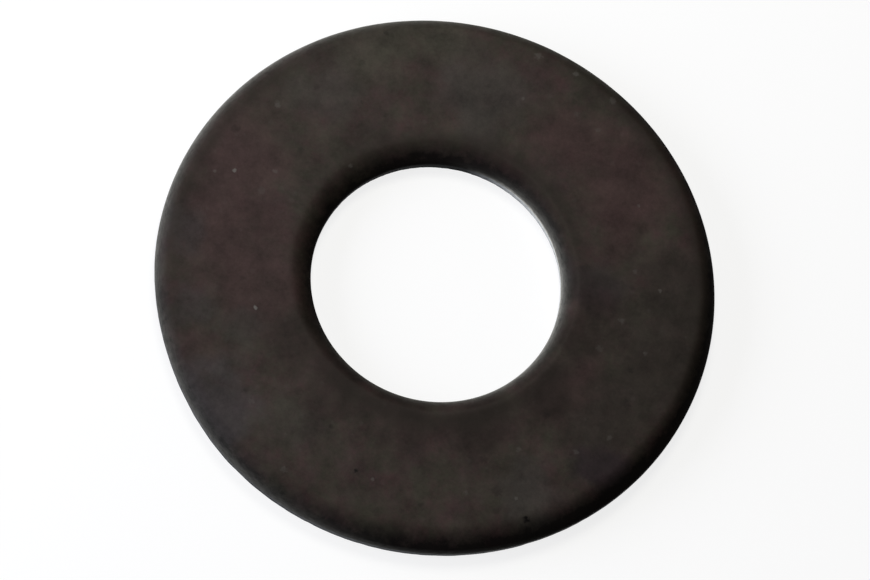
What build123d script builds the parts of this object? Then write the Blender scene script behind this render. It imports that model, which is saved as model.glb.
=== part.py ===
from build123d import *
from math import atan2, degrees, radians, tan
import os

# A thrust washer, blanked and pierced from steel strip. Sizes are in millimetres and degrees.
# It lies on its burr side with the die-roll side up. The origin is the centre of the bore
# on the burr side, and +Z runs up the bore.

outer_diameter = 28.0
bore_diameter = 12.5
thickness = 1.5

# Die roll: as the tools enter they drag the upper side down into the cut. It leaves the flat
# as a long shallow crown and turns down into the cut edge round a tighter corner.
rim_roll_width = 1.05
rim_roll_depth = 0.7
rim_corner_radius = 0.35
bore_roll_width = 1.15
bore_roll_depth = 0.75
bore_corner_radius = 0.35

# Under the roll each cut is straight and burnished for a short way.
rim_land_height = 0.25
bore_land_height = 0.25

# Below the land the metal tears away from the tool, so the rim leans in and the bore
# opens towards the burr side.
rim_breakout_angle = 13.0
bore_breakout_angle = 13.0

# Tumbling rounds the burr-side edges.
burr_edge_radius = 0.15


def draw_cut_edge(
    edge_radius,  # of the land
    outward,  # 1 where the metal ends outwards, at the rim, and -1 where it ends at the bore
    roll_width,
    roll_depth,
    corner_radius,
    land_height,
    breakout_angle,
):
    """Draw one cut edge's outline, and return its ends on the upper and the burr side."""
    # The crown is tangent to the flat at one end and to the corner at the other.
    crown_radius = ((roll_width - corner_radius) ** 2 + roll_depth**2 - corner_radius**2) / (
        2 * (roll_depth - corner_radius)
    )
    corner_turn = degrees(atan2(crown_radius - roll_depth, roll_width - corner_radius))
    flat_end = (edge_radius - outward * roll_width, thickness)
    crown = JernArc(flat_end, (outward, 0), crown_radius, -outward * (90 - corner_turn))
    corner = JernArc(crown @ 1, crown % 1, corner_radius, -outward * corner_turn)

    land_foot = thickness - roll_depth - land_height
    land = Line(corner @ 1, (edge_radius, land_foot))
    breakout_foot = (edge_radius - outward * land_foot * tan(radians(breakout_angle)), 0)
    breakout = Line(land @ 1, breakout_foot)
    return crown @ 0, breakout @ 1


with BuildPart() as washer:
    # One side of the washer's section, to the right of the axis.
    with BuildSketch(Plane.XZ) as section:
        with BuildLine():
            rim_flat_end, rim_foot = draw_cut_edge(
                outer_diameter / 2,
                1,
                rim_roll_width,
                rim_roll_depth,
                rim_corner_radius,
                rim_land_height,
                rim_breakout_angle,
            )
            bore_flat_end, bore_foot = draw_cut_edge(
                bore_diameter / 2,
                -1,
                bore_roll_width,
                bore_roll_depth,
                bore_corner_radius,
                bore_land_height,
                bore_breakout_angle,
            )
            Line(bore_flat_end, rim_flat_end)
            Line(rim_foot, bore_foot)
        make_face()
        fillet(section.vertices().group_by(Axis.Y)[0], radius=burr_edge_radius)
    revolve(axis=Axis.Z)

washer.part.label = "washer"

os.makedirs("parts", exist_ok=True)
export_step(washer.part, "parts/washer.step")
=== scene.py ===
import math

import bpy
import numpy as np
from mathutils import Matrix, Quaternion, Vector, noise


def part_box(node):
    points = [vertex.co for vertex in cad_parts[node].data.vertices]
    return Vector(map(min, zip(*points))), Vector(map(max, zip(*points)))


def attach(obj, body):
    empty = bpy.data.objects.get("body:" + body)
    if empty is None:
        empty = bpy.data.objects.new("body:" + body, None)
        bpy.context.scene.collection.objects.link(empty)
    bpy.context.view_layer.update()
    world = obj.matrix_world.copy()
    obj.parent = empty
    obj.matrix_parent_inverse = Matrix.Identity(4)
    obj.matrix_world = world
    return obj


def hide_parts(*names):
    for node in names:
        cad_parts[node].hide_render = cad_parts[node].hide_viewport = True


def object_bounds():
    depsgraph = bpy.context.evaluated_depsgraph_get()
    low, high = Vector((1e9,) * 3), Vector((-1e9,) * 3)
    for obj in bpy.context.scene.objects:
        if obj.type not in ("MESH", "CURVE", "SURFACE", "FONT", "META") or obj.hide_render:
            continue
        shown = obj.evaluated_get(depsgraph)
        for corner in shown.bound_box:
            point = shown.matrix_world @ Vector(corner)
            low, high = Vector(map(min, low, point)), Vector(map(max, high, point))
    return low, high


mm = 0.001
upright = math.pi / 2
white = (1.0, 1.0, 1.0, 1.0)
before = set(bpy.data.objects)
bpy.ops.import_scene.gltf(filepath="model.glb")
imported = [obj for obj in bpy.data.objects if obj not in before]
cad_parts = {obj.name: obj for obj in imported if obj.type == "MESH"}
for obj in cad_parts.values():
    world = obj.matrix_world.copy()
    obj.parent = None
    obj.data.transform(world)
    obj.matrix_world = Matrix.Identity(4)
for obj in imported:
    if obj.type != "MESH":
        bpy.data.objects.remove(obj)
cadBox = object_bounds()
print("frame loaded")

view = {
    "elevation": 69.5,  # degrees above the floor, looking along +Y
    "roll": 20.2,  # degrees
    "distance": 215.7,  # mm from the place it looks at
    "lens": 179.9,  # mm
    "sensor": 36.0,
    "nearest": 0.001,  # metres
    "aside": 0.06,  # mm the washer's middle stands right of and above the picture's
    "above": 0.38,
}

washer = {
    "node": "washer",
    "slot": "blackened_steel",
    "segments": 720,  # round the ring
    "faceRings": 44,
    "undersideRings": 12,
    "rimFlats": [(217, 26, 0.10)],  # degrees round, degrees to each side, mm deep
    "rim": {
        "rollWidth": 0.78,  # mm the upper face takes to turn down into the cut
        "wideRoll": (-66, 105, 0.6),  # degrees round, degrees to each side, mm wider there
        "shadedRoll": (-50, 115, 1.0, 0.5),  # the same, for the painted shade on the roll: how dark it is there and elsewhere
        "rollDepth": 0.7,
        "cornerRadius": 0.35,
        "landHeight": 0.25,  # the straight, burnished part of the cut
        "breakoutAngle": 13.0,  # degrees the torn part leans into the metal
        "wander": 0.07,  # share by which the roll varies round the ring
        "tear": 0.03,  # mm, how rough the torn part is
        "seed": 3.0,
        # rubbed bright, partly wear and partly painted highlight on the sides the lamps light: degrees
        # round, degrees to each side, and how brightly
        "cornerWearAndHighlight": [(130, 75, 0.6), (230, 50, 0.17)],
        "wearHighlightReach": 0.17,  # mm inwards over which it fades
        "wallWearAndHighlight": [(285, 35, 0.17)],
        "dusky": [(40, 60, 0.6), (172, 60, 0.45)],  # where the face is darker beside the roll
        "duskBand": (0.75, 0.45),  # mm from the edge to its middle, and from there to either side
    },
    "bore": {
        "rollWidth": 0.85,
        "wideRoll": (145, 130, 0.5),
        "shadedRoll": (110, 150, 0.77, 0.43),
        "rollDepth": 0.75,
        "cornerRadius": 0.35,
        "landHeight": 0.25,
        "breakoutAngle": 13.0,
        "wander": 0.07,
        "tear": 0.03,
        "seed": 11.0,
        "cornerWearAndHighlight": [(-28, 112, 0.56), (75, 30, 0.06)],
        "wearHighlightReach": 0.13,
        # on the bore's wall this is mostly a painted highlight where light catches it, with some wear
        "wallWearAndHighlight": [(40, 55, 1.0)],
        "dusky": [(285, 75, 0.65), (85, 80, 0.65)],
        "duskBand": (1.1, 0.5),
    },
    "cut": {
        "crownSteps": 10,  # from ring to ring down each part of a cut edge
        "cornerSteps": 8,
        "landSteps": 4,
        "tornSteps": 9,
        "burrSteps": 5,
        "burrRadius": 0.15,  # mm, on the tumbled foot
        "biteGrowth": 1.4,  # how fast the tear deepens
        "biteEnd": 6,  # power by which it runs out
        "wearHighlightGrowth": 1.2,  # power by which the wall's rubbing and painted highlight set in round the corner
        # uneven places round the ring: how strong, and roughly how many
        "swelling": [(1.0, 5), (0.6, 19)],
        "landFoot": [(0.25, 40), (0.15, 110)],
        "tearing": [(0.5, 130, 0.35), (0.3, 330, 0.9)],  # and how fast they change from ring to ring
    },
    "wave": {"height": 0.004, "length": 4},  # mm, slow ups and downs of the faces
    "dings": {"count": 110, "radius": (0.15, 0.55), "depth": (0.003, 0.010), "seed": 5},  # mm
}


def ringNoise(angles, seed, lobes):
    # smooth noise from -1 to 1 that closes on itself round the ring
    reach = lobes / 2
    places = [Vector((reach * math.cos(a), reach * math.sin(a), seed)) for a in angles]
    return np.array([noise.noise(place) for place in places])


def layeredNoise(angles, seed, layers):
    # noises of different fineness on top of each other, each with a seed of its own
    return sum(strong * ringNoise(angles, seed + i, lobes) for i, (strong, lobes) in enumerate(layers))


def smoothBowl(distance, radius):
    # 1 in the middle of a shallow hollow, 0 from its edge outwards
    return np.clip(1 - (distance / radius) ** 2, 0, 1) ** 2


def turnsAway(angles, middle):
    # degrees round the ring from a place given in degrees
    return (np.degrees(angles) - middle + 180) % 360 - 180


def arcsAround(angles, arcs):
    # how strong something is round the ring: degrees round, degrees to each side, and strength
    total = 0 * angles
    for middle, halfWidth, strength in arcs:
        total += strength * smoothBowl(turnsAway(angles, middle), halfWidth) ** 0.5
    return total


def cutEdge(edge, cut, edgeRadius, outwards, thickness, angles):
    # the rings of one cut edge, from the upper flat's end down to the underside's
    rings = []
    # painted shade on the roll, deepest round one arc and lighter elsewhere, carried with the roll's
    # slope
    darkMiddle, darkHalf, darkest, elsewhere = edge["shadedRoll"]
    dark = elsewhere + (darkest - elsewhere) * smoothBowl(turnsAway(angles, darkMiddle), darkHalf)
    # bright rubbed steel on the corner and the wall, partly wear and partly painted highlight
    cornerWearHighlight = arcsAround(angles, edge["cornerWearAndHighlight"])
    wallWearHighlight = arcsAround(angles, edge["wallWearAndHighlight"])

    def cornerWearHighlightAt(radius):
        return cornerWearHighlight * np.exp(-np.abs(edgeRadius - radius) / (edge["wearHighlightReach"] * mm))

    def addRing(radius, height, zone, slope, rub):
        ring = {"radius": radius, "height": height, "shadedSlope": dark * slope / upright, "rub": rub}
        rings.append({name: value + 0 * angles for name, value in ring.items()} | {"zone": zone})

    # the roll is a long shallow crown that runs on into a tighter corner
    seed = edge["seed"]
    swell = 1 + edge["wander"] * layeredNoise(angles, seed, cut["swelling"])
    wideMiddle, wideHalf, wider = edge["wideRoll"]
    widthAround = edge["rollWidth"] + wider * smoothBowl(turnsAway(angles, wideMiddle), wideHalf)
    width = widthAround * mm * swell
    depth = edge["rollDepth"] * mm * np.minimum(1, 0.5 + 0.5 * swell)  # less where it is narrow
    corner = edge["cornerRadius"] * mm
    crown = ((width - corner) ** 2 + depth**2 - corner**2) / (2 * (depth - corner))
    turn = np.arctan2(width - corner, crown - depth)  # slope where the crown meets the corner
    flatEnd = edgeRadius - outwards * width
    for i in range(cut["crownSteps"] + 1):
        slope = turn * i / cut["crownSteps"]
        radius = flatEnd + outwards * crown * np.sin(slope)
        height = thickness - crown * (1 - np.cos(slope))
        addRing(radius, height, "roll", slope, cornerWearHighlightAt(radius))
    for i in range(1, cut["cornerSteps"] + 1):
        share = i / cut["cornerSteps"]
        slope = turn + (upright - turn) * share
        radius = edgeRadius - outwards * corner * (1 - np.sin(slope))
        height = thickness - depth + corner * np.cos(slope)
        rub = cornerWearHighlightAt(radius) + wallWearHighlight * share ** cut["wearHighlightGrowth"]
        addRing(radius, height, "roll", slope, rub)

    landTop = thickness - depth
    ragged = 1 + layeredNoise(angles, seed + 2, cut["landFoot"])
    landFoot = landTop - edge["landHeight"] * mm * ragged
    for i in range(1, cut["landSteps"] + 1):
        share = i / cut["landSteps"]
        rub = cornerWearHighlight * (1 - share) + wallWearHighlight
        addRing(edgeRadius, landTop + (landFoot - landTop) * share, "land", upright, rub)

    lean = math.radians(edge["breakoutAngle"])
    burr = cut["burrRadius"] * mm
    tangent = burr / math.tan((upright + lean) / 2)  # from the foot's corner to each end of its round
    foot = edgeRadius - outwards * landFoot * math.tan(lean)
    tornEnd = foot + outwards * tangent * math.sin(lean)
    tornEndHeight = tangent * math.cos(lean)
    for i in range(1, cut["tornSteps"] + 1):
        share = i / cut["tornSteps"]
        # deepest just past the middle, and nothing at the round
        deepening = math.sin(upright * min(1, share * cut["biteGrowth"]))
        bite = edge["tear"] * mm * deepening * (1 - share ** cut["biteEnd"])
        torn = 0.5
        for layer, (strong, lobes, drift) in enumerate(cut["tearing"]):
            torn = torn + strong * ringNoise(angles, seed + 4 + layer + drift * i, lobes)
        torn = np.clip(torn, 0, 1)
        radius = edgeRadius + (tornEnd - edgeRadius) * share - outwards * bite * torn
        height = landFoot + (tornEndHeight - landFoot) * share
        addRing(radius, height, "breakout", upright, wallWearHighlight)

    centre = foot - outwards * tangent
    for i in range(1, cut["burrSteps"] + 1):
        share = i / cut["burrSteps"]
        turned = -lean - (upright - lean) * share
        radius = centre + outwards * burr * math.cos(turned)
        height = burr * (1 + math.sin(turned))
        addRing(radius, height, "burrEdge", upright * (1 - share), wallWearHighlight * (1 - share))
    return rings


def ringsBetween(start, end, count, zone):
    # flat rings between the ends of two edges, without those ends
    rings = []
    for i in range(1, count + 1):
        share = i / (count + 1)
        ring = {name: start[name] + (end[name] - start[name]) * share for name in ("radius", "height")}
        level = 0 * ring["radius"]
        rings.append(ring | {"shadedSlope": level, "rub": level, "zone": zone})
    return rings


def sinkage(spec, x, y, height, innermost, outermost):
    # how far the faces sink: a slow wave, and dings from tumbling against other washers
    length = spec["wave"]["length"] * mm
    places = zip(x.flat, y.flat, height.flat)
    wave = np.array([noise.noise(Vector(place) / length) for place in places]).reshape(x.shape)
    sink = spec["wave"]["height"] * mm * (0.5 + 0.5 * wave)
    dings = spec["dings"]
    draw = np.random.default_rng(dings["seed"])
    for _ in range(dings["count"]):
        around = draw.uniform(0, 2 * math.pi)
        out = math.sqrt(draw.uniform(innermost**2, outermost**2))
        size = draw.uniform(*dings["radius"]) * mm
        deep = draw.uniform(*dings["depth"]) * mm
        away = np.hypot(x - out * math.cos(around), y - out * math.sin(around))
        sink += deep * smoothBowl(away, size)
    return sink


def washerMesh(spec):
    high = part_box(spec["node"])[1]
    outerRadius = high.x
    thickness = high.z
    boreRadius = min(math.hypot(v.co.x, v.co.y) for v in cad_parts[spec["node"]].data.vertices)
    segments = spec["segments"]
    angles = np.arange(segments) * 2 * math.pi / segments

    rimRadius = np.full(segments, outerRadius)
    for middle, halfWidth, deep in spec["rimFlats"]:
        rimRadius -= deep * mm * smoothBowl(turnsAway(angles, middle), halfWidth)
    rim = cutEdge(spec["rim"], spec["cut"], rimRadius, 1, thickness, angles)
    bore = cutEdge(spec["bore"], spec["cut"], np.full(segments, boreRadius), -1, thickness, angles)
    face = ringsBetween(bore[0], rim[0], spec["faceRings"], "face")
    underside = ringsBetween(rim[-1], bore[-1], spec["undersideRings"], "underside")
    rings = face + rim + underside + bore[::-1]
    zones = [ring["zone"] for ring in rings]
    radius = np.array([ring["radius"] for ring in rings])
    height = np.array([ring["height"] for ring in rings])
    x = radius * np.cos(angles)
    y = radius * np.sin(angles)

    upper = np.array([zone in ("face", "roll") for zone in zones])[:, None]
    under = np.array([zone == "underside" for zone in zones])[:, None]
    sink = sinkage(spec, x, y, height, boreRadius, outerRadius)
    height = height - sink * upper + 0.5 * sink * under
    dusk = 0 * radius
    for edge, edgeRadius in ((spec["rim"], rimRadius), (spec["bore"], boreRadius)):
        bandMiddle, bandReach = edge["duskBand"]
        away = (np.abs(radius - edgeRadius) / mm - bandMiddle) / bandReach
        dusk += upper * arcsAround(angles, edge["dusky"]) * np.exp(-(away**2))

    points = np.stack([x, y, height], axis=-1).reshape(-1, 3)
    faces = []
    finishes = []  # 0 blackened, 1 cut
    rimFoot = zones.index("underside")
    for i in range(len(rings)):
        j = (i + 1) % len(rings)
        zone = zones[j if i < rimFoot else i]  # the rim's rings run down and the bore's run up
        for k in range(segments):
            n = (k + 1) % segments
            faces.append((i * segments + k, j * segments + k, j * segments + n, i * segments + n))
        finishes += [int(zone in ("land", "breakout"))] * segments
    mesh = bpy.data.meshes.new("washerBlank")
    mesh.from_pydata(points.tolist(), [], faces)
    mesh.polygons.foreach_set("material_index", finishes)
    mesh.shade_smooth()
    for name, values in (
        ("shadedSlope", [ring["shadedSlope"] for ring in rings]),
        ("torn", [0 * ring["radius"] + (ring["zone"] == "breakout") for ring in rings]),
        ("wearAndHighlight", [ring["rub"] for ring in rings]),
        ("dusk", dusk),
    ):
        layer = mesh.attributes.new(name, "FLOAT", "POINT")
        layer.data.foreach_set("value", np.array(values, np.float32).ravel())
    return mesh


def feed(tree, socket, value):
    # gives an input a value, or links it from another socket
    if isinstance(value, bpy.types.NodeSocket):
        tree.links.new(value, socket)
    else:
        socket.default_value = value


def addNode(tree, kind, settings=None, **inputs):
    # a node with its settings and its inputs, which go by name, or as in0, in1 and so on
    made = tree.nodes.new("ShaderNode" + kind)
    for name, value in (settings or {}).items():
        setattr(made, name, value)
    for name, value in inputs.items():
        feed(tree, made.inputs[int(name[2:]) if name.startswith("in") else name], value)
    return made


def maths(tree, operation, first, second=0.0, third=0.0, clamp=False):
    settings = {"operation": operation, "use_clamp": clamp}
    return addNode(tree, "Math", settings, in0=first, in1=second, in2=third).outputs[0]


def vectorMaths(tree, operation, first, second):
    # the node itself, since some operations give a vector and some a value
    return addNode(tree, "VectorMath", {"operation": operation}, in0=first, in1=second)


def scaled(tree, vector, scale):
    return addNode(tree, "VectorMath", {"operation": "SCALE"}, in0=vector, Scale=scale).outputs[0]


def blendColours(tree, share, first, second):
    made = addNode(tree, "Mix", {"data_type": "RGBA"}, in0=share, in6=first, in7=second)
    return made.outputs[2]


def attributeValue(tree, name):
    return addNode(tree, "Attribute", {"attribute_name": name}).outputs["Fac"]


def softEdge(tree, away, outside, inside):
    # 0 from "outside" outwards, 1 from "inside" inwards, and smooth between them
    made = addNode(tree, "MapRange", {"interpolation_type": "SMOOTHSTEP"}, Value=away)
    made.inputs["From Min"].default_value = outside
    made.inputs["From Max"].default_value = inside
    return made.outputs[0]


def newGroup(name, inputs, outputs):
    # an empty node group: (name, kind, value) for each input and (name, kind) for each output
    tree = bpy.data.node_groups.new(name, "ShaderNodeTree")
    for socketName, kind, value in inputs:
        socketType = "NodeSocket" + kind
        socket = tree.interface.new_socket(socketName, in_out="INPUT", socket_type=socketType)
        socket.default_value = value
    for socketName, kind in outputs:
        tree.interface.new_socket(socketName, in_out="OUTPUT", socket_type="NodeSocket" + kind)
    return tree, tree.nodes.new("NodeGroupInput"), tree.nodes.new("NodeGroupOutput")


def placeGroup(tree, group, **inputs):
    made = tree.nodes.new("ShaderNodeGroup")
    made.node_tree = group
    for name, value in inputs.items():
        feed(tree, made.inputs[name], value)
    return made


def millimetres(tree):
    # where a point is on the washer, in mm
    return scaled(tree, addNode(tree, "TexCoord").outputs["Object"], 1 / mm)


def makeClouding():
    # patches of tint, the widest "Size" mm across and finer ones inside them; about 0.5 on average
    tree, given, result = newGroup(
        "clouding",
        [("Size", "Float", 3.0), ("Seed", "Float", 0.0), ("Contrast", "Float", 1.0)],
        [("Cloud", "Float")],
    )
    cloud = addNode(
        tree,
        "TexNoise",
        {"noise_dimensions": "4D"},
        Vector=millimetres(tree),
        W=given.outputs["Seed"],
        Scale=maths(tree, "DIVIDE", 1.0, given.outputs["Size"]),
        Detail=5.0,
        Roughness=0.76,
    )
    offset = maths(tree, "SUBTRACT", cloud.outputs[0], 0.5)
    spread = maths(tree, "MULTIPLY_ADD", offset, given.outputs["Contrast"], 0.5, clamp=True)
    tree.links.new(spread, result.inputs["Cloud"])
    return tree


def makeCrystalGrain():
    # the fine crystals of the blackening, as a height and as a tone
    cellsPerGrain = 0.7  # along a line
    cellDepth = 0.4
    tree, given, result = newGroup(
        "crystalGrain", [("Size", "Float", 0.15)], [("Height", "Float"), ("Tone", "Float")]
    )
    place = millimetres(tree)
    scale = maths(tree, "DIVIDE", 1.0, given.outputs["Size"])
    fine = addNode(tree, "TexNoise", Vector=place, Scale=scale, Detail=3.0, Roughness=0.6)
    cells = addNode(tree, "TexVoronoi", Vector=place, Scale=maths(tree, "MULTIPLY", scale, cellsPerGrain))
    height = maths(tree, "MULTIPLY_ADD", cells.outputs["Distance"], -cellDepth, fine.outputs[0])
    tree.links.new(height, result.inputs["Height"])
    tree.links.new(fine.outputs[0], result.inputs["Tone"])
    return tree


def makeFlecks():
    # small marks strewn about "Spacing" mm apart and up to "Size" mm across, in "Share" of the places
    bendsPerMm, bentBy = 5.0, 0.12  # a wobble that keeps the marks from being round
    seedShift = (13.0, 7.0, 5.0)  # mm the marks move for each step of the seed
    smallest, sizeSpread = 0.15, 0.35  # from middle to edge, as shares of "Size"
    faintest, strengthSpread = 0.3, 0.7
    tree, given, result = newGroup(
        "flecks",
        [
            ("Spacing", "Float", 1.0),
            ("Size", "Float", 0.2),
            ("Share", "Float", 0.5),
            ("Seed", "Float", 0.0),
        ],
        [("Mask", "Float")],
    )
    place = millimetres(tree)
    wobble = addNode(tree, "TexNoise", Vector=place, Scale=bendsPerMm).outputs[1]
    place = vectorMaths(tree, "ADD", place, scaled(tree, wobble, bentBy)).outputs[0]
    shift = scaled(tree, seedShift, given.outputs["Seed"])
    place = vectorMaths(tree, "ADD", place, shift).outputs[0]
    cells = addNode(
        tree, "TexVoronoi", Vector=place, Scale=maths(tree, "DIVIDE", 1.0, given.outputs["Spacing"])
    )
    away = maths(tree, "MULTIPLY", cells.outputs["Distance"], given.outputs["Spacing"])
    lot = addNode(tree, "SeparateColor", in0=cells.outputs["Color"])  # three chances for each mark
    reach = maths(tree, "MULTIPLY_ADD", lot.outputs[0], sizeSpread, smallest)
    reach = maths(tree, "MULTIPLY", given.outputs["Size"], reach)
    mark = softEdge(tree, maths(tree, "DIVIDE", away, reach), outside=1.3, inside=0.4)
    present = maths(tree, "LESS_THAN", lot.outputs[1], given.outputs["Share"])
    strength = maths(tree, "MULTIPLY_ADD", lot.outputs[2], strengthSpread, faintest)
    mask = maths(tree, "MULTIPLY", maths(tree, "MULTIPLY", mark, present), strength)
    tree.links.new(mask, result.inputs["Mask"])
    return tree


def makeSpot():
    # one mark, its middle at "Place" in mm and "Size" mm across, as uneven as the noise in "Ragged"
    tree, given, result = newGroup(
        "spot",
        [("Place", "Vector", (0, 0, 0)), ("Size", "Float", 0.1), ("Ragged", "Float", 0.5)],
        [("Mask", "Float")],
    )
    away = vectorMaths(tree, "DISTANCE", millimetres(tree), given.outputs["Place"]).outputs["Value"]
    share = maths(tree, "DIVIDE", maths(tree, "MULTIPLY", away, 2.0), given.outputs["Size"])
    uneven = maths(tree, "MULTIPLY_ADD", given.outputs["Ragged"], 2.0, -1.0)
    mask = softEdge(tree, maths(tree, "ADD", share, uneven), outside=1.2, inside=0.4)
    tree.links.new(mask, result.inputs["Mask"])
    return tree


def makeWearHighlightStreaks():
    # where the blackening has been rubbed through, partly wear and partly painted highlight, in streaks
    # round the edge; "Fill" 1 leaves few gaps
    flatten = (1.0, 1.0, 4.0)  # height counts four times, so the streaks lie along the edge
    tree, given, result = newGroup("rubbing", [("Fill", "Float", 0.5)], [("Mask", "Float")])
    wearAndHighlight = attributeValue(tree, "wearAndHighlight")
    squashed = vectorMaths(tree, "MULTIPLY", millimetres(tree), flatten).outputs[0]
    streaks = addNode(tree, "TexNoise", Vector=squashed, Scale=3.0, Detail=4.0, Roughness=0.7)
    level = maths(tree, "MULTIPLY_ADD", streaks.outputs[0], 2.0, -1.0)
    level = maths(tree, "ADD", level, given.outputs["Fill"], clamp=True)
    tree.links.new(maths(tree, "MULTIPLY", level, wearAndHighlight), result.inputs["Mask"])
    return tree


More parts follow.
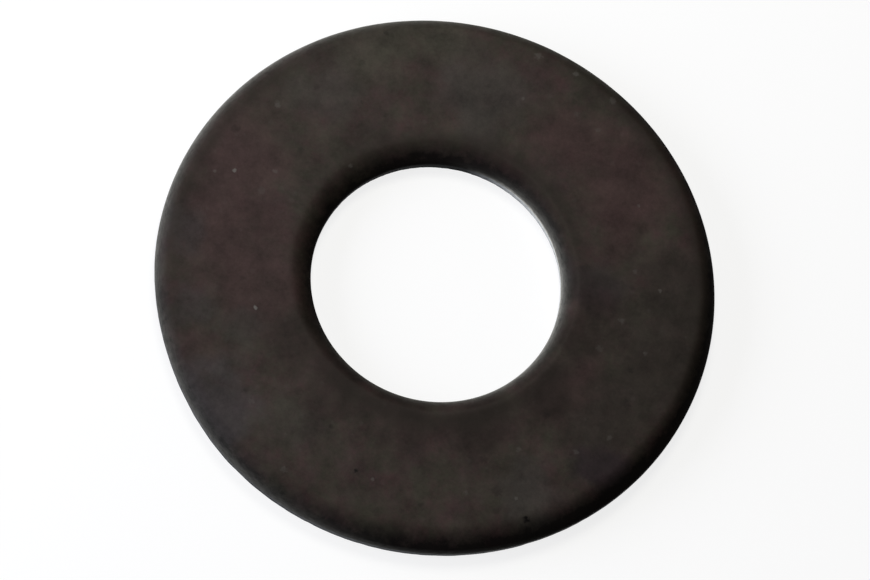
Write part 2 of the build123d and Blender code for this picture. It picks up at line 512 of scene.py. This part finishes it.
finish = {
    "brown": (0.0418, 0.0295, 0.0271),
    "mauve": (0.0486, 0.0281, 0.0271),
    "olive": (0.0371, 0.0326, 0.0245),
    "pale": (0.0434, 0.0376, 0.0331),
    "moss": (0.0262, 0.0212, 0.0176),
    "plum": (0.0235, 0.0165, 0.0192),
    "lavender": (0.0455, 0.0388, 0.0400),
    "straw": (0.0522, 0.0477, 0.0358),
    "dusk": (0.0225, 0.0158, 0.0139),
    "umber": (0.0180, 0.0146, 0.0118),  # beside the rolled edges
    "cut": (0.0062, 0.0066, 0.0074),  # the cut edge, blackened like the rest
    "knocked": (0.13, 0.12, 0.11),  # where a crystal has been knocked off
    "pit": (0.006, 0.005, 0.005),
    # clouds: mm across, which pattern, and how strong
    "mauveCloud": {"Size": 1.4, "Seed": 1.0, "Contrast": 4.3},
    "oliveCloud": {"Size": 1.82, "Seed": 7.0, "Contrast": 4.3},
    "toneCloud": {"Size": 1.7, "Seed": 3.0, "Contrast": 2.5},
    "toneShare": 0.42,  # how far the tone runs lighter and darker
    "darkFlecks": {"Spacing": 0.6, "Size": 0.36, "Share": 0.5, "Seed": 2.0},
    "darkFleckShare": 0.30,
    "lightFlecks": {"Spacing": 0.6, "Size": 0.32, "Share": 0.5, "Seed": 5.0},
    "lightFleckShare": 0.10,
    "grainSize": 0.16,  # mm
    "grainDepth": 0.0025,
    "roughness": 0.42,
    "grainRoughness": 0.10,  # how much it varies from crystal to crystal
    "sheen": 0.04,  # specular level
    "rollShade": (0.0030, 0.0027, 0.0028),  # painted shade where the face turns down into the cut, deepest on the rolls turned from the lamps
    "steepShare": 0.9,
    "steepFrom": 0.045,  # share of a right angle at which the painted shade starts
    "steepFull": 0.33,  # and at which it is darkest
    "steepCloud": {"Size": 0.7, "Seed": 9.0, "Contrast": 2.0},
    "steepUneven": (0.55, 0.9),  # the least the cloud makes of a slope, and what it adds
    "steepRoughness": 0.45,  # how much rougher it is there
    "cutCloud": {"Size": 0.8, "Seed": 4.0, "Contrast": 2.0},
    "cutSheen": 0.02,
    "cutGrainSize": 0.112,
    "cutGrainDepth": 0.005,
    "landGrainShare": 0.2,  # how much of the grain the tool has left on the land
    "landRoughness": 0.5,
    "tornRoughness": 0.35,  # how much rougher the breakout is
    "wearHighlightFace": (0.60, 0.585, 0.515),  # steel rubbed bright on corners and on the cut, partly wear and partly painted highlight
    "wearHighlightCut": (0.58, 0.60, 0.61),
    "wearHighlightFill": 0.8,  # how unbroken the rubbing is
    "wearHighlightRoughness": 0.40,
    # tinted patches on the upper face: x and y in mm from the middle, mm across, tint, and how strong
    "patches": [
        (3.9, 9.2, 4.6, "mauve", 0.8),
        (7.1, 8.2, 5.2, "mauve", 0.8),
        (-11.0, 2.9, 5.6, "mauve", 0.7),
        (-10.3, -0.8, 6.8, "mauve", 0.8),
        (-8.3, -3.6, 4.8, "mauve", 0.7),
        (7.7, 5.0, 2.5, "mauve", 0.6),
        (8.6, -2.6, 2.8, "mauve", 0.6),
        (-9.6, -7.8, 2.4, "mauve", 0.5),
        (7.2, 2.4, 3.4, "plum", 0.6),
        (10.8, -6.2, 3.4, "plum", 0.8),
        (-1.4, 9.8, 5.0, "pale", 0.8),
        (-8.5, 7.6, 4.0, "pale", 0.6),
        (-8.2, -6.0, 2.2, "pale", 0.6),
        (8.0, -8.8, 3.4, "pale", 0.8),
        (-4.2, -9.8, 3.6, "pale", 0.3),
        (11.4, 3.7, 5.0, "moss", 0.8),
        (12.2, -0.6, 5.0, "moss", 0.8),
        (10.3, -3.6, 4.4, "moss", 0.8),
        (10.0, 1.2, 3.0, "moss", 0.6),
        (-7.8, -10.2, 4.6, "lavender", 0.8),
        (-12.8, -2.2, 2.8, "lavender", 0.5),
        (-10.8, -5.6, 2.6, "lavender", 0.4),
        (-6.8, 10.6, 5.0, "straw", 0.6),
        (-3.4, 12.2, 3.4, "straw", 0.6),
        (7.8, 0.2, 3.4, "dusk", 0.7),
        (7.0, -3.4, 3.8, "dusk", 0.9),
        (4.6, -6.2, 4.2, "dusk", 0.8),
        (1.0, -7.6, 4.4, "dusk", 0.9),
        (-2.8, -7.2, 4.0, "dusk", 0.6),
        (-5.4, -5.8, 3.6, "dusk", 0.6),
        (-5.8, 4.9, 3.0, "dusk", 0.25),
    ],
    "markRaggedness": 0.25,  # mm across of the bumps in the outlines of single marks
    # single marks, the same way: x, y, mm across, and how strong
    "specks": [
        (-11.3, 1.6, 0.22, 0.8),
        (-7.9, -4.8, 0.24, 0.9),
        (-10.5, 5.7, 0.38, 0.25),
        (0.9, 10.6, 0.2, 0.25),
        (8.2, 7.3, 0.2, 0.25),
        (9.3, 1.2, 0.35, 0.22),
        (10.6, 3.4, 0.22, 0.3),
        (7.3, -9.4, 0.2, 0.3),
        (0.4, -11.0, 0.2, 0.3),
        (-12.2, 1.2, 0.2, 0.25),
        (-9.4, 2.3, 0.3, 0.25),
        (-6.4, -9.4, 0.35, 0.15),
        (-3.8, -12.1, 0.35, 0.15),
        (5.0, 10.4, 0.3, 0.15),
        (3.7, 10.8, 0.35, 0.1),
        (-9.7, 1.1, 0.45, 0.12),
        (-6.0, 4.0, 0.25, 0.25),
        (9.1, 3.9, 0.3, 0.15),
        (8.7, -0.6, 0.4, 0.12),
        (10.9, 0.0, 0.25, 0.2),
        (10.6, -4.8, 0.35, 0.18),
        (9.3, -6.1, 0.3, 0.2),
        (6.6, -7.0, 0.3, 0.15),
        (4.9, -10.0, 0.3, 0.15),
        (0.9, 13.1, 0.45, 0.25),
        (3.0, 12.9, 0.35, 0.3),
        (5.2, 12.2, 0.4, 0.2),
    ],
    "pits": [
        (-0.5, -10.9, 0.22, 0.9),
        (8.1, -10.2, 0.42, 1.0),
        (-2.4, -9.2, 0.25, 0.3),
        (-6.8, -6.9, 0.2, 0.22),
        (9.1, -6.3, 0.2, 0.3),
        (-6.6, 7.4, 0.2, 0.22),
        (-9.0, 7.3, 0.35, 0.26),
        (-6.9, -9.0, 0.3, 0.26),
        (3.0, -11.4, 0.3, 0.3),
        (2.2, -12.0, 0.3, 0.22),
        (1.1, -12.5, 0.5, 0.22),
        (-4.5, -8.1, 0.5, 0.19),
        (-12.0, 3.7, 0.5, 0.3),
        (-8.6, 3.8, 0.4, 0.26),
        (-7.3, 9.4, 0.4, 0.26),
        (-6.7, 11.4, 0.3, 0.38),
        (-13.2, -0.9, 0.3, 0.3),
        (-11.8, -2.8, 0.9, 0.19),
        (-10.6, -2.5, 0.7, 0.15),
        (-8.7, -2.0, 0.8, 0.17),
        (-9.0, -3.6, 0.3, 0.22),
        (-12.2, -5.7, 0.35, 0.26),
        (6.7, 3.2, 0.5, 0.22),
        (8.1, 1.0, 0.45, 0.26),
        (9.7, 0.7, 0.6, 0.22),
        (10.5, -1.1, 0.35, 0.3),
        (9.5, -1.8, 0.8, 0.22),
        (10.8, -2.8, 0.6, 0.26),
        (7.3, -4.8, 0.45, 0.3),
        (10.2, -4.3, 0.8, 0.22),
        (5.2, -8.1, 0.4, 0.3),
        (6.3, -9.4, 0.6, 0.3),
        (6.6, -10.4, 0.35, 0.26),
        (10.9, 3.5, 0.2, 0.3),
    ],
}
clouding = makeClouding()
crystalGrain = makeCrystalGrain()
flecks = makeFlecks()
spot = makeSpot()
rubbing = makeWearHighlightStreaks()


def rgba(colour):
    return (*colour, 1.0)


def newMaterial(name):
    material = bpy.data.materials.new(name)
    material.use_nodes = True
    tree = material.node_tree
    shader = next(n for n in tree.nodes if n.type == "BSDF_PRINCIPLED")
    return material, tree, shader


def raggedness(tree, size):
    # noise that breaks up the outline of marks about "size" mm across
    bumps = 1.8  # across a mark
    return addNode(tree, "TexNoise", Vector=millimetres(tree), Scale=bumps / size, Detail=4.0).outputs[0]


def overlay(tree, colour, mask, strength, markColour):
    return blendColours(tree, maths(tree, "MULTIPLY", mask, strength), colour, rgba(markColour))


def blackenedTone(tree, spec, height):
    # the clouded colour of the blackening, with its patches and strewn flecks
    mauve = placeGroup(tree, clouding, **spec["mauveCloud"]).outputs["Cloud"]
    olive = placeGroup(tree, clouding, **spec["oliveCloud"]).outputs["Cloud"]
    colour = blendColours(tree, mauve, rgba(spec["brown"]), rgba(spec["mauve"]))
    colour = blendColours(tree, olive, colour, rgba(spec["olive"]))
    for x, y, across, tint, strength in spec["patches"]:
        ragged = raggedness(tree, across)
        mask = placeGroup(tree, spot, Place=(x, y, height), Size=across, Ragged=ragged).outputs["Mask"]
        colour = overlay(tree, colour, mask, strength, spec[tint])
    tone = placeGroup(tree, clouding, **spec["toneCloud"]).outputs["Cloud"]
    share = spec["toneShare"]
    colour = scaled(tree, colour, maths(tree, "MULTIPLY_ADD", tone, 2 * share, 1 - share))
    dark = placeGroup(tree, flecks, **spec["darkFlecks"]).outputs["Mask"]
    colour = overlay(tree, colour, dark, spec["darkFleckShare"], spec["pit"])
    light = placeGroup(tree, flecks, **spec["lightFlecks"]).outputs["Mask"]
    return overlay(tree, colour, light, spec["lightFleckShare"], spec["knocked"])


def wearHighlightThrough(tree, spec, shader, colour, roughness, steel):
    # colour and roughness where wear and painted highlight brighten the steel
    mask = placeGroup(tree, rubbing, Fill=spec["wearHighlightFill"]).outputs["Mask"]
    tree.links.new(blendColours(tree, mask, colour, rgba(steel)), shader.inputs["Base Color"])
    tree.links.new(mask, shader.inputs["Metallic"])
    smoother = addNode(tree, "Mix", in0=mask, in2=roughness, in3=spec["wearHighlightRoughness"]).outputs[0]
    tree.links.new(smoother, shader.inputs["Roughness"])


def addBump(tree, shader, height, depth):
    bump = addNode(tree, "Bump", Strength=1.0, Distance=depth * mm, Height=height)
    tree.links.new(bump.outputs[0], shader.inputs["Normal"])


def blackenedFace(spec, height):
    material, tree, shader = newMaterial("blackenedFace")
    # painted shade on the turned-down rolls, made uneven by a cloud
    least, added = spec["steepUneven"]
    uneven = placeGroup(tree, clouding, **spec["steepCloud"]).outputs["Cloud"]
    uneven = maths(tree, "MULTIPLY_ADD", uneven, added, least)
    shadedSlope = maths(tree, "MULTIPLY", attributeValue(tree, "shadedSlope"), uneven)
    rollShade = addNode(tree, "MapRange", Value=shadedSlope)
    rollShade.inputs["From Min"].default_value = spec["steepFrom"]
    rollShade.inputs["From Max"].default_value = spec["steepFull"]
    rollShade.inputs["To Max"].default_value = spec["steepShare"]
    colour = blackenedTone(tree, spec, height)
    colour = blendColours(tree, attributeValue(tree, "dusk"), colour, rgba(spec["umber"]))
    # the painted shade on the rolls goes over the face colour here
    colour = blendColours(tree, rollShade.outputs[0], colour, rgba(spec["rollShade"]))
    ragged = raggedness(tree, spec["markRaggedness"])
    for marks, markColour in ((spec["specks"], spec["knocked"]), (spec["pits"], spec["pit"])):
        for x, y, size, strength in marks:
            placed = placeGroup(tree, spot, Place=(x, y, height), Size=size, Ragged=ragged)
            colour = overlay(tree, colour, placed.outputs["Mask"], strength, markColour)
    grain = placeGroup(tree, crystalGrain, Size=spec["grainSize"])
    varied = spec["grainRoughness"]
    smoothest = spec["roughness"] - varied / 2
    roughness = maths(tree, "MULTIPLY_ADD", grain.outputs["Tone"], varied, smoothest)
    roughness = maths(tree, "MULTIPLY_ADD", rollShade.outputs[0], spec["steepRoughness"], roughness)
    wearHighlightThrough(tree, spec, shader, colour, roughness, spec["wearHighlightFace"])
    shader.inputs["Specular IOR Level"].default_value = spec["sheen"]
    addBump(tree, shader, grain.outputs["Height"], spec["grainDepth"])
    return material


def cutSteel(spec):
    # the land is burnished by the tool, and the breakout below it is torn
    material, tree, shader = newMaterial("cutSteel")
    torn = attributeValue(tree, "torn")
    grain = placeGroup(tree, crystalGrain, Size=spec["cutGrainSize"])
    tone = placeGroup(tree, clouding, **spec["cutCloud"]).outputs["Cloud"]
    colour = scaled(tree, spec["cut"], maths(tree, "ADD", tone, 0.5))
    roughness = maths(tree, "MULTIPLY_ADD", torn, spec["tornRoughness"], spec["landRoughness"])
    # the wall's rubbed steel, partly wear and partly a painted highlight where light catches the bore
    wearHighlightThrough(tree, spec, shader, colour, roughness, spec["wearHighlightCut"])
    shader.inputs["Specular IOR Level"].default_value = spec["cutSheen"]
    left = spec["landGrainShare"]
    depth = maths(tree, "MULTIPLY_ADD", torn, 1 - left, left)
    height = maths(tree, "MULTIPLY", grain.outputs["Height"], depth)
    addBump(tree, shader, height, spec["cutGrainDepth"])
    return material


def makeWasher(spec):
    mesh = washerMesh(spec)
    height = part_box(spec["node"])[1].z / mm
    mesh.materials.append(blackenedFace(finish, height))
    mesh.materials.append(cutSteel(finish))
    piece = bpy.data.objects.new("washerBlank", mesh)
    bpy.context.scene.collection.objects.link(piece)
    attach(piece, "root")
    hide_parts(spec["node"])


makeWasher(washer)
print("washer made")

stage = {
    "flatRadius": 1.2,  # metres
    "coveRadius": 0.5,
    "coveSteps": 12,
    "sides": 96,
    "drop": 0.00002,  # metres the floor lies below the washer
    "floorColour": 0.22,
    "glow": 0.82,  # what the eye and reflections see on top of the lit floor
    "world": 0.01,  # how bright the room is beside the lamps
    "lamps": [
        {
            "name": "window",
            "around": 195,  # degrees round from +X
            "up": 20,
            "away": 0.16,  # metres
            "wide": 0.24,
            "tall": 0.09,
            "level": 1.45,
            "tint": (0.96, 1.0, 1.13),
        },
        {
            "name": "overhead",
            "around": 112,
            "up": 66,
            "away": 0.12,
            "wide": 0.055,
            "tall": 0.055,
            "level": 0.42,
            "tint": (1.02, 1.0, 0.90),
        },
    ],
}


def makeFloor(spec, level):
    # a round pale floor that sweeps up into a backdrop
    outline = [(spec["flatRadius"], 0.0)]
    for i in range(1, spec["coveSteps"] + 1):
        turned = math.pi / 2 * i / spec["coveSteps"]
        radius = spec["flatRadius"] + spec["coveRadius"] * math.sin(turned)
        outline.append((radius, spec["coveRadius"] * (1 - math.cos(turned))))
    sides = spec["sides"]
    points = [(0.0, 0.0, level)]
    faces = []
    for radius, height in outline:
        for k in range(sides):
            turned = 2 * math.pi * k / sides
            points.append((radius * math.cos(turned), radius * math.sin(turned), level + height))
    for k in range(sides):
        n = (k + 1) % sides
        faces.append((0, 1 + k, 1 + n))
        for i in range(len(outline) - 1):
            ring = 1 + i * sides
            faces.append((ring + k, ring + sides + k, ring + sides + n, ring + n))
    mesh = bpy.data.meshes.new("floor")
    mesh.from_pydata(points, [], faces)
    mesh.shade_smooth()
    mesh.materials.append(paleFloor(spec))
    floor = bpy.data.objects.new("floor", mesh)
    bpy.context.scene.collection.objects.link(floor)


def paleFloor(spec):
    material, tree, shader = newMaterial("paleFloor")
    grey = (spec["floorColour"],) * 3
    shader.inputs["Base Color"].default_value = rgba(grey)
    shader.inputs["Roughness"].default_value = 1.0
    shader.inputs["Specular IOR Level"].default_value = 0.0
    shader.inputs["Emission Color"].default_value = white
    path = addNode(tree, "LightPath")
    seen = maths(tree, "MAXIMUM", path.outputs["Is Camera Ray"], path.outputs["Is Glossy Ray"])
    seen = maths(tree, "MAXIMUM", seen, path.outputs["Is Transmission Ray"])
    glow = maths(tree, "MULTIPLY", seen, spec["glow"])
    tree.links.new(glow, shader.inputs["Emission Strength"])
    return material


def makeLamps(spec):
    scene = bpy.context.scene
    for lamp in spec["lamps"]:
        light = bpy.data.lights.new(lamp["name"], "AREA")
        light.shape = "ELLIPSE"
        light.size = lamp["wide"]
        light.size_y = lamp["tall"]
        # level 1 lights a white card that faces the lamp to about 1
        light.energy = lamp["level"] * math.pi**2 * lamp["away"] ** 2
        light.color = lamp["tint"]
        around = math.radians(lamp["around"])
        up = math.radians(lamp["up"])
        flat = math.cos(up)
        towards = Vector((flat * math.cos(around), flat * math.sin(around), math.sin(up)))
        holder = bpy.data.objects.new(lamp["name"], light)
        holder.location = towards * lamp["away"]
        holder.rotation_mode = "QUATERNION"
        holder.rotation_quaternion = towards.to_track_quat("Z", "Y")
        holder.visible_camera = False
        scene.collection.objects.link(holder)
    scene.world = bpy.data.worlds.new("room")
    scene.world.use_nodes = True
    background = scene.world.node_tree.nodes["Background"]
    background.inputs["Color"].default_value = white
    background.inputs["Strength"].default_value = spec["world"]


def makeCamera(spec, middle):
    scene = bpy.context.scene
    up = math.radians(spec["elevation"])
    back = Vector((0, -math.cos(up), math.sin(up)))
    turn = (-back).to_track_quat("-Z", "Y") @ Quaternion((0, 0, 1), math.radians(spec["roll"]))
    target = middle - turn @ Vector((spec["aside"], spec["above"], 0)) * mm
    lens = bpy.data.cameras.new("camera")
    lens.lens = spec["lens"]
    lens.sensor_width = spec["sensor"]
    lens.clip_start = spec["nearest"]
    camera = bpy.data.objects.new("camera", lens)
    camera.location = target + back * spec["distance"] * mm
    camera.rotation_mode = "QUATERNION"
    camera.rotation_quaternion = turn
    scene.collection.objects.link(camera)
    scene.camera = camera
    scene.view_settings.view_transform = "Standard"


makeFloor(stage, cadBox[0][2] - stage["drop"])
makeLamps(stage)
makeCamera(view, (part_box(washer["node"])[0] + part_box(washer["node"])[1]) / 2)
print("floor, lamps and camera set")
